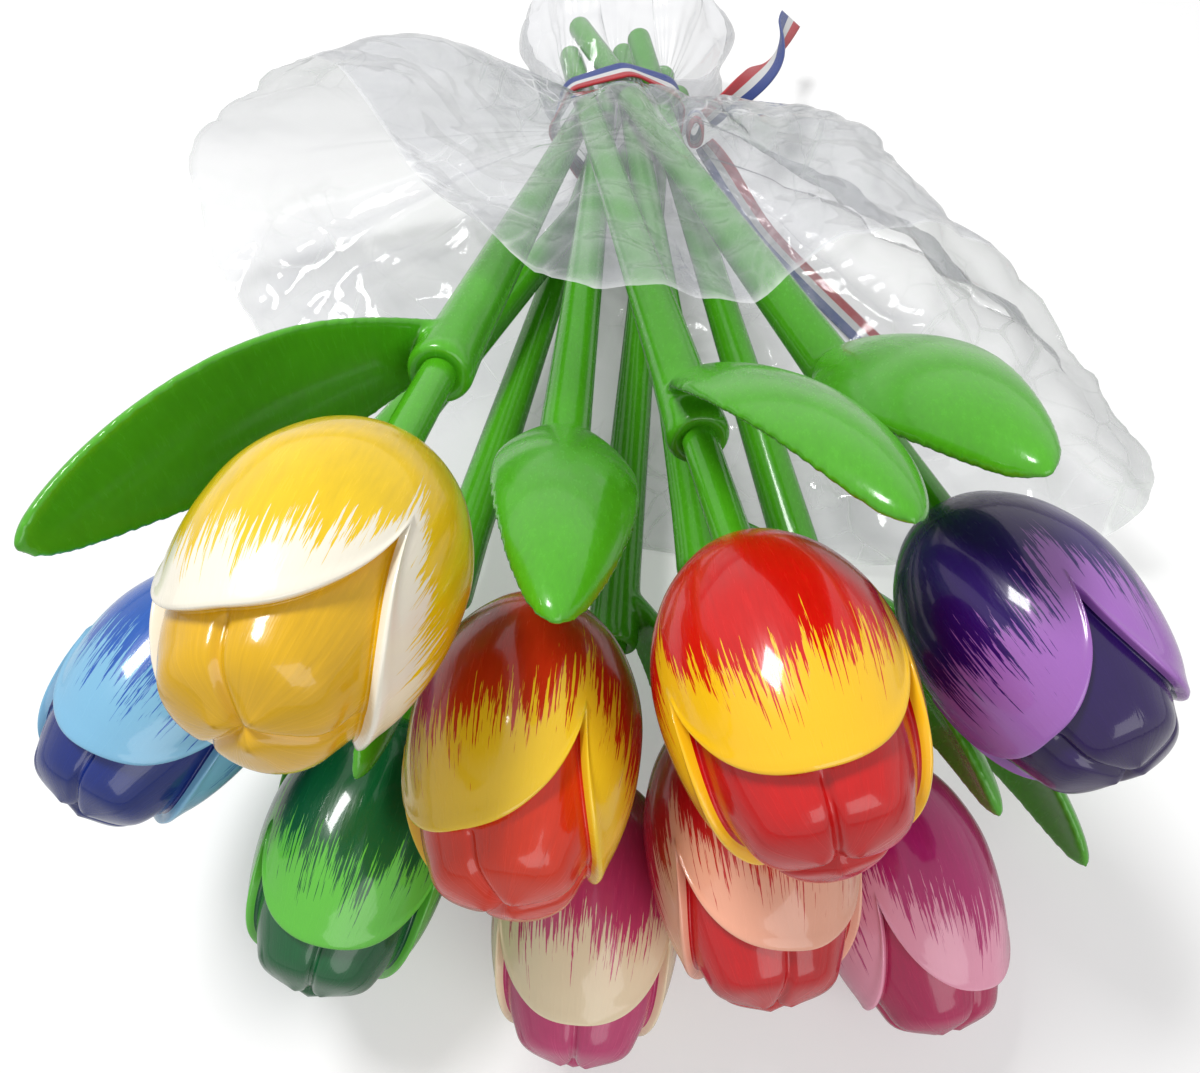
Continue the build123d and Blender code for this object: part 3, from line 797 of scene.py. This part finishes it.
def outwards(ring):
    """Outward directions of a ring, seen along Y."""
    along = np.roll(ring, -1, 0) - np.roll(ring, 1, 0)
    square = np.stack([-along[:, 2], 0 * along[:, 0], along[:, 0]], 1)
    return square / np.maximum(np.linalg.norm(square, axis=1), 1e-9)[:, None]


bare_ring = hugging_ring(0.0, 0.0, FILM_COLUMNS)
print("at the tie the stems are", round(float(np.ptp(bare_ring[:, 0])), 1), "mm wide")

# %% [markdown]
# From the tie to each mouth the rings change from the hugging ring to the outline of
# the mouth. The main folds are deepest between the two.

# %% Rings from the tie to the mouths
def film_rings(neck, mouth, size, rings, folds, depth, rows, ahead):
    """Rings of points from the gathered neck to the open mouth, with the main folds."""
    mouth = smooth(mouth, FILM_COLUMNS, closed=True)
    mouth = mouth * np.array([size[0], ahead * size[1], size[2]])
    mouth = mouth + np.array([BUNCH_SHIFT, 0, 0])
    folds = smooth(np.array(folds)[:, None], FILM_COLUMNS, closed=True)[:, 0]
    made = []
    for place, opened, fold in smooth(rings, rows):
        ring = neck + (mouth - neck) * np.array([opened, place, opened])
        made.append(ring + outwards(ring) * (folds * fold * depth)[:, None])
    return made


ring_gap = FILM_CLEARANCE + NECK_LOOSENESS
neck_rings = [hugging_ring(behind, ring_gap, FILM_COLUMNS)
              for behind in np.linspace(-NECK_LENGTH / 2, NECK_LENGTH / 2, NECK_ROWS)]
skirt_rings = film_rings(neck_rings[0], SKIRT_MOUTH, SKIRT_SIZE, SKIRT_RINGS, SKIRT_FOLDS,
                         SKIRT_FOLD_DEPTH, SKIRT_ROWS, -1)
sleeve_rings = film_rings(neck_rings[-1], SLEEVE_MOUTH, SLEEVE_SIZE, SLEEVE_RINGS,
                          SLEEVE_FOLDS, SLEEVE_FOLD_DEPTH, SLEEVE_ROWS, 1)
film_points = np.array(skirt_rings[::-1] + neck_rings[1:-1] + sleeve_rings)
print("film of", film_points.shape[0], "rings with", film_points.shape[1], "points")


# %% [markdown]
# The pleats are sharp at the tie and fade within a few centimetres. The creases do the
# opposite: they start where the film is free of the ribbon.

# %% Pleats and creases
PLEAT_COUNT = 41
PLEAT_DEPTH = 2.0
# How uneven the pleats are, and in how many waves round the neck
PLEAT_DRIFT = 0.3
DRIFT_WAVES = 5
PLEAT_FADE = 26.0
CREASES_FROM = 6.0
CREASES_FULL = 60.0
# Spacing and height of each size of crease, and where its pattern starts
CREASES = [(46.0, 9.0, 0), (19.0, 3.2, 100), (9.0, 0.9, 300)]
FILM_ABOVE_TABLE = 0.3


def crumple(points, spacing):
    """Height of the facets between straight creases."""
    heights = np.empty(len(points))
    for number, point in enumerate(points):
        near = noise.voronoi(Vector(point) / spacing)[0]
        heights[number] = near[1] - near[0]
    return heights


rows, columns = film_points.shape[:2]
turns = np.arange(columns) * tau / columns
from_tie = np.abs(film_points[:, :, 1])
drift = PLEAT_DRIFT * np.sin(turns * DRIFT_WAVES)
pleats = np.abs((turns * PLEAT_COUNT / tau + drift) % 1 - 0.5) * 2
pleat_depth = PLEAT_DEPTH * np.exp(-from_tie / PLEAT_FADE)
opened = steady(from_tie, CREASES_FROM, CREASES_FULL)
all_points = film_points.reshape(-1, 3)
creases = sum(crumple(all_points + start, spacing) * height
              for spacing, height, start in CREASES).reshape(rows, columns)
for row in range(rows):
    lift = pleats * pleat_depth[row] + creases[row] * opened[row]
    film_points[row] += outwards(film_points[row]) * lift[:, None]
film_points[:, :, 1] += TIE / MM
film_points[:, :, 2] = np.maximum(film_points[:, :, 2], FILM_ABOVE_TABLE)
print("creases up to", round(float(creases.max()), 1), "mm high")


# %% Bend a grid into the film
EDGE_ROWS = 1.5
CLOTH_WELD = 0.001


def bent_tube(name, points):
    """A grid mesh closed round into a tube through a table of rows and columns."""
    rows, columns = points.shape[:2]
    shape = bmesh.new()
    bmesh.ops.create_grid(shape, x_segments=columns, y_segments=rows - 1, size=0.5)
    # The open_edge attribute marks the mouths, where the film's material paints a white painted
    # highlight
    edge_layer = shape.verts.layers.float.new("open_edge")
    for vert in shape.verts:
        column = round((vert.co.x + 0.5) * columns) % columns
        row = round((vert.co.y + 0.5) * (rows - 1))
        vert[edge_layer] = max(0.0, 1 - min(row, rows - 1 - row) / EDGE_ROWS)
        vert.co = points[row, column] * MM
    bmesh.ops.remove_doubles(shape, verts=shape.verts, dist=CLOTH_WELD * MM)
    bmesh.ops.recalc_face_normals(shape, faces=shape.faces)
    for face in shape.faces:
        face.smooth = True
    mesh = bpy.data.meshes.new(name)
    shape.to_mesh(mesh)
    shape.free()
    made = bpy.data.objects.new(name, mesh)
    bpy.context.scene.collection.objects.link(made)
    return made


film = bent_tube("clear_film_wrap", film_points)
film_area = sum(face.area for face in film.data.polygons)
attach(film, "wrap")
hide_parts("film_neck", "film_skirt", "film_sleeve")
print("film of", len(film.data.polygons), "faces and", round(film_area, 4), "square metres")

# %% [markdown]
# ## Clear film as a material
# Clear film is seen by its creases and its edges: flat parts let most of the light
# through, a crease catches it as a thin white line, and film seen at a flat angle
# hides more. So the alpha rises at the creases, at the open edges and at the
# silhouette. Its colour is painted light: flat film is painted grey as painted shade,
# and the creases and open edges are painted white as painted highlights. Object
# coordinates are in metres here, so the scales are large.

# %% Film material
# Alpha of film seen square on, and what a flat angle, a patch and a crease add to it
ALPHA_FLAT = 0.16
ALPHA_FACING = 0.48
ALPHA_PATCH = 0.12
ALPHA_LINE = 0.26
# Cells of the large and the small creases to a metre
LARGE_CELLS = 24.0
SMALL_CELLS = 62.0

film_look = bpy.data.materials.new("clear_film")
film_look.use_nodes = True
tree = film_look.node_tree
shader = tree.nodes["Principled BSDF"]
place = node(tree, "ShaderNodeTexCoord")
bent = node(tree, "ShaderNodeTexNoise", [("Vector", place.outputs["Object"]), ("Scale", 30.0)])
wobble = mix_colours(tree, 0.012, place.outputs["Object"], bent.outputs["Color"])
large = node(tree, "ShaderNodeTexVoronoi", [("Vector", wobble), ("Scale", LARGE_CELLS)],
             feature="DISTANCE_TO_EDGE")
small = node(tree, "ShaderNodeTexVoronoi", [("Vector", wobble), ("Scale", SMALL_CELLS)],
             feature="DISTANCE_TO_EDGE")
patch = node(tree, "ShaderNodeTexNoise", [("Vector", place.outputs["Object"]), ("Scale", 17.0)])
large_line = maths(tree, "MULTIPLY_ADD", large.outputs[0], -24.0, 1.0, clamp=True)
small_line = maths(tree, "MULTIPLY_ADD", small.outputs[0], -20.0, 0.8, clamp=True)
some = maths(tree, "MULTIPLY_ADD", patch.outputs[0], 4.0, -1.8, clamp=True)
lines = maths(tree, "MULTIPLY", maths(tree, "MAXIMUM", large_line, small_line), some)
open_edge = node(tree, "ShaderNodeAttribute", attribute_name="open_edge")
lines = maths(tree, "MULTIPLY_ADD", open_edge.outputs["Fac"], 0.7, lines, clamp=True)
facing = node(tree, "ShaderNodeLayerWeight", [("Blend", 0.40)])
alpha = maths(tree, "MULTIPLY_ADD", facing.outputs["Facing"], ALPHA_FACING, ALPHA_FLAT)
alpha = maths(tree, "MULTIPLY_ADD", some, ALPHA_PATCH, alpha)
alpha = maths(tree, "MULTIPLY_ADD", lines, ALPHA_LINE, alpha, clamp=True)
tree.links.new(alpha, shader.inputs["Alpha"])
# Painted light in the base colour: grey painted shade on flat film, white painted highlights
# along the creases and the open edges
film_tone_with_painted_shade_and_highlights = mix_colours(tree, lines, (0.40, 0.41, 0.46, 1), (0.94, 0.95, 0.96, 1))
tree.links.new(film_tone_with_painted_shade_and_highlights, shader.inputs["Base Color"])
rise = maths(tree, "ADD", large.outputs[0], maths(tree, "MULTIPLY", small.outputs[0], 0.4))
bump = node(tree, "ShaderNodeBump", [("Strength", 0.5), ("Distance", 0.004), ("Height", rise)])
tree.links.new(bump.outputs[0], shader.inputs["Normal"])
shader.inputs["Roughness"].default_value = 0.08
shader.inputs["Specular IOR Level"].default_value = 1.0
shader.inputs["Coat Weight"].default_value = 1.0
shader.inputs["Coat Roughness"].default_value = 0.03
film.data.materials.append(film_look)
print("film material with", len(tree.nodes), "nodes")

# %% [markdown]
# ## The ribbon
# The ribbon is a flat woven band with a red, a white and a blue stripe along it. A
# grid is laid along a smooth line and turned about it, then given its thickness. An
# attribute across the ribbon carries the stripes round every turn and twist.

# %% Sizes of the ribbon
RIBBON_WIDTH = 10.0
RIBBON_THICKNESS = 0.8
KNOT_MIDDLE = 24.0
# Right, away from the tie and up as shares of the tail's length, and turn in degrees
BACK_TAIL_LENGTH = 75.0
BACK_TAIL = [(0.0, 0.0, 0.06, 90), (0.09, 0.04, 0.12, 80), (0.22, 0.16, 0.14, 35),
             (0.34, 0.36, 0.10, -20), (0.41, 0.55, 0.07, -75), (0.46, 0.72, 0.05, -120),
             (0.52, 0.90, 0.02, -150)]
FRONT_TAIL_LENGTH = 105.0
FRONT_TAIL = [(0.0, 0.03, 0.19, 88), (0.06, 0.08, 0.13, 60), (0.13, 0.18, 0.065, 12),
              (0.22, 0.32, 0.02, 0), (0.36, 0.54, 0.008, 0), (0.50, 0.76, 0.008, 0),
              (0.63, 0.96, 0.008, 0)]
ACROSS = 13
TAIL_ROWS = 90
BAND_COLUMNS = 180
# How far the middle of the band is pulled in
BAND_PULL = 0.5
print("the ribbon is", RIBBON_WIDTH, "mm wide")

# %% One piece of ribbon
def ribbon(name, lines, closed=False):
    """Ribbon from a table of points: one row for each place along it."""
    points = np.array(lines)
    rows, columns = points.shape[:2]
    along = rows if closed else rows - 1
    shape = bmesh.new()
    bmesh.ops.create_grid(shape, x_segments=columns - 1, y_segments=along, size=0.5)
    across_layer = shape.verts.layers.float.new("across")
    along_layer = shape.verts.layers.float.new("along")
    travelled = np.concatenate([[0], np.cumsum(np.linalg.norm(
        np.diff(points[:, columns // 2], axis=0), axis=1))])
    for vert in shape.verts:
        column = round((vert.co.x + 0.5) * (columns - 1))
        row = round((vert.co.y + 0.5) * along) % rows
        vert[across_layer] = column / (columns - 1)
        vert[along_layer] = travelled[row]
        vert.co = points[row, column] * MM
    bmesh.ops.remove_doubles(shape, verts=shape.verts, dist=CLOTH_WELD * MM)
    bmesh.ops.recalc_face_normals(shape, faces=shape.faces)
    bmesh.ops.solidify(shape, geom=shape.faces[:], thickness=RIBBON_THICKNESS * MM)
    bmesh.ops.recalc_face_normals(shape, faces=shape.faces)
    for face in shape.faces:
        face.smooth = True
    mesh = bpy.data.meshes.new(name)
    shape.to_mesh(mesh)
    shape.free()
    made = bpy.data.objects.new(name, mesh)
    bpy.context.scene.collection.objects.link(made)
    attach(made, "wrap")
    return made


print("a piece has", ACROSS, "points across it")

# %% [markdown]
# A tail turns about its own middle line. Each station in its table says how far, and
# the smooth line between them gives the soft twists of a curled ribbon.

# %% Rows across a tail
def tail(stations, count):
    """Rows of points across a ribbon that turns about its middle line."""
    line = smooth(stations, count)
    middle = line[:, :3]
    along = np.gradient(middle, axis=0)
    along /= np.linalg.norm(along, axis=1)[:, None]
    flat = np.cross(along, [0, 0, 1])
    flat /= np.linalg.norm(flat, axis=1)[:, None]
    turn = np.radians(line[:, 3])[:, None]
    across = flat * np.cos(turn) + np.cross(along, flat) * np.sin(turn)
    shares = np.linspace(-0.5, 0.5, ACROSS)
    return middle[:, None] + across[:, None] * (shares * RIBBON_WIDTH)[None, :, None]


print("tails with", len(BACK_TAIL), "and", len(FRONT_TAIL), "stations")

# %% Band round the film
band_gap = FILM_CLEARANCE + FILM_GATHER + RIBBON_THICKNESS / 2
band_lines = []
for share in np.linspace(-0.5, 0.5, ACROSS):
    pulled = band_gap - BAND_PULL * np.cos(share * tau / 2)**2
    ring = hugging_ring(share * RIBBON_WIDTH, pulled, BAND_COLUMNS)
    ring[:, 1] += TIE / MM
    band_lines.append(ring)
band = ribbon("woven_band", np.array(band_lines).transpose(1, 0, 2), closed=True)
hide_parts("ribbon_band")
print("the band has", len(band.data.polygons), "faces")

# %% The two tails
knot_low, knot_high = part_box("ribbon_knot")
knot_right = knot_high.x / MM

back_start = np.array([knot_right, TIE / MM, KNOT_MIDDLE])
back_points = [(*(back_start + np.array([right, behind, up]) * BACK_TAIL_LENGTH), turn)
               for right, behind, up, turn in BACK_TAIL]
back_tail = ribbon("woven_tail_back", tail(back_points, TAIL_ROWS))
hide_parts("ribbon_tail_back")

front_start = np.array([knot_right, TIE / MM, 0.0])
front_points = [(*(front_start + np.array([right, -ahead, up]) * FRONT_TAIL_LENGTH), turn)
                for right, ahead, up, turn in FRONT_TAIL]
front_tail = ribbon("woven_tail_front", tail(front_points, TAIL_ROWS))
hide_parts("ribbon_tail_front")
print("tails from the knot at X =", round(knot_right, 1), "mm")

# %% [markdown]
# The knot is one tight turn of the ribbon round its two tails. The ribbon is pinched
# where it turns over at the top and the bottom, and its middle bulges.

# %% Knot
KNOT_COLUMNS = 72
KNOT_HALF_DEPTH = 3.0
KNOT_HALF_HEIGHT = 5.2
KNOT_SWELL = 0.16
KNOT_SPREAD = 1.6
KNOT_SLANT = 0.9
PINCH_MEAN = 0.55
PINCH_CHANGE = 0.12

knot_middle = (knot_low + knot_high) / 2 / MM
turns = np.arange(KNOT_COLUMNS) * tau / KNOT_COLUMNS
pinch = PINCH_MEAN + PINCH_CHANGE * np.cos(turns * 2)
knot_lines = []
for share in np.linspace(-0.5, 0.5, ACROSS):
    swell = 1 + KNOT_SWELL * np.cos(share * tau / 2)
    slant = KNOT_SLANT * np.sin(turns)
    knot_lines.append(np.stack([
        knot_middle.x + KNOT_HALF_DEPTH * swell * np.cos(turns),
        knot_middle.y + share * RIBBON_WIDTH * pinch * KNOT_SPREAD + slant,
        knot_middle.z + KNOT_HALF_HEIGHT * swell * np.sin(turns)], 1))
knot = ribbon("woven_knot", np.array(knot_lines).transpose(1, 0, 2), closed=True)
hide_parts("ribbon_knot")
print("the knot has", len(knot.data.polygons), "faces")

# %% [markdown]
# The ribbon's colours come from two attributes. One runs across it and makes the three
# stripes, and the other runs along it. Together they make the small ribs of the weave,
# which give it its bump, and the cloth is darkened a little in the grooves between the
# ribs as painted shade.

# %% Ribbon material
STRIPES = (0.36, 0.64)
RIBS_ALONG = 9.0
RIBS_ACROSS = 150.0

ribbon_look = bpy.data.materials.new("striped_ribbon")
ribbon_look.use_nodes = True
tree = ribbon_look.node_tree
shader = tree.nodes["Principled BSDF"]
across = node(tree, "ShaderNodeAttribute", attribute_name="across").outputs["Fac"]
along = node(tree, "ShaderNodeAttribute", attribute_name="along").outputs["Fac"]
first = maths(tree, "GREATER_THAN", across, STRIPES[0])
second = maths(tree, "GREATER_THAN", across, STRIPES[1])
stripe = mix_colours(tree, first, (0.52, 0.012, 0.025, 1), (0.80, 0.80, 0.80, 1))
stripe = mix_colours(tree, second, stripe, (0.012, 0.045, 0.26, 1))
rib = maths(tree, "SINE", maths(tree, "MULTIPLY", along, RIBS_ALONG))
cross_rib = maths(tree, "SINE", maths(tree, "MULTIPLY", across, RIBS_ACROSS))
weave = maths(tree, "MULTIPLY", rib, cross_rib)
# Painted shade: the cloth is painted darker where the ribs' bump is low
rib_groove_painted_shade = maths(tree, "MULTIPLY_ADD", weave, 0.12, 0.86, clamp=True)
striped_cloth_with_painted_shade = mix_colours(tree, rib_groove_painted_shade, (0.0, 0.0, 0.0, 1), stripe)
tree.links.new(striped_cloth_with_painted_shade, shader.inputs["Base Color"])
bump = node(tree, "ShaderNodeBump", [("Strength", 0.5), ("Distance", 0.0002), ("Height", weave)])
tree.links.new(bump.outputs[0], shader.inputs["Normal"])
shader.inputs["Roughness"].default_value = 0.55
shader.inputs["Sheen Weight"].default_value = 0.3
for piece in (band, back_tail, front_tail, knot):
    piece.data.materials.append(ribbon_look)
print("ribbon material on 4 pieces")

# %% [markdown]
# ## Table, light and camera
# The photograph shows the bunch on plain white, from above and in front of the
# blooms. A large white floor catches the soft shadows. A soft box above and behind
# gives the highlights on the wood, and the pale world fills the shadows.

# %% Floor
# Half the table's width in metres, and how many millimetres it lies below the bunch
TABLE_HALF = 4.0
TABLE_BELOW = 0.5

shape = bmesh.new()
bmesh.ops.create_grid(shape, x_segments=2, y_segments=2, size=TABLE_HALF)
mesh = bpy.data.meshes.new("table")
shape.to_mesh(mesh)
shape.free()
mesh.transform(Matrix.Translation((0, 0, -TABLE_BELOW * MM)))
table = bpy.data.objects.new("table", mesh)
bpy.context.scene.collection.objects.link(table)
white = bpy.data.materials.new("white_table")
white.use_nodes = True
tree = white.node_tree
shader = tree.nodes["Principled BSDF"]
light_path = node(tree, "ShaderNodeLightPath")
shader.inputs["Base Color"].default_value = (0.70, 0.70, 0.70, 1)
shader.inputs["Roughness"].default_value = 0.9
seen = mix_colours(tree, light_path.outputs["Is Camera Ray"], (0, 0, 0, 1), (1, 1, 1, 1))
tree.links.new(seen, shader.inputs["Emission Color"])
shader.inputs["Emission Strength"].default_value = 0.30
table.data.materials.append(white)
print("a white table of", 2 * TABLE_HALF, "metres")

# %% [markdown]
# The room is white where the camera, a reflection or the clear film looks at it, but
# lights the bunch much less, so that the paint keeps its depth.

# %% World and lamps
ROOM_LIGHT = 0.36
# Place and size of each lamp in metres, and its power in watts
LAMP_TARGET = (0.0, -0.02, 0.05)
LAMPS = {"window": ((-0.35, 0.25, 0.95), (0.30, 0.22), 7.5),
         "fill": ((0.5, -0.9, 0.9), (1.0, 0.8), 6.0)}

world = bpy.data.worlds.new("pale_room")
bpy.context.scene.world = world
world.use_nodes = True
tree = world.node_tree
light_path = node(tree, "ShaderNodeLightPath")
seen = maths(tree, "MAXIMUM", light_path.outputs["Is Camera Ray"],
             light_path.outputs["Is Transmission Ray"])
seen = maths(tree, "MAXIMUM", seen, light_path.outputs["Is Glossy Ray"])
room = mix_colours(tree, seen, (ROOM_LIGHT, ROOM_LIGHT, ROOM_LIGHT, 1), (1.0, 1.0, 1.0, 1))
tree.links.new(room, tree.nodes["Background"].inputs["Color"])
tree.nodes["Background"].inputs["Strength"].default_value = 1.0


def soft_lamp(name, place, size, power):
    """A soft box that points at the middle of the bunch."""
    light = bpy.data.lights.new(name, "AREA")
    light.shape = "RECTANGLE"
    light.size = size[0]
    light.size_y = size[1]
    light.energy = power
    lamp = bpy.data.objects.new(name, light)
    lamp.location = place
    towards = Vector(LAMP_TARGET) - Vector(place)
    lamp.rotation_euler = towards.to_track_quat("-Z", "Y").to_euler()
    bpy.context.scene.collection.objects.link(lamp)


for lamp_name, (lamp_place, lamp_size, lamp_power) in LAMPS.items():
    soft_lamp(lamp_name, lamp_place, lamp_size, lamp_power)
print(len(LAMPS), "lamps and a pale room")

# %% Camera
# Millimetres to the right of the tie, behind it and above the table. A minus means to
# the left of it or in front of it.
CAMERA_PLACE = (-7.0, -308.0, 260.0)
CAMERA_TILT = 30

camera_data = bpy.data.cameras.new("camera")
camera_data.lens = 28.4
camera_data.shift_y = -0.012
camera_data.sensor_width = 36.0
camera = bpy.data.objects.new("camera", camera_data)
camera.location = (Vector(CAMERA_PLACE) + Vector((BUNCH_SHIFT, TIE / MM, 0))) * MM
camera.rotation_euler = (radians(CAMERA_TILT), 0, 0)
bpy.context.scene.collection.objects.link(camera)
bpy.context.scene.camera = camera
bpy.context.scene.view_settings.view_transform = "Standard"
print("camera at", [round(value, 3) for value in camera.location])
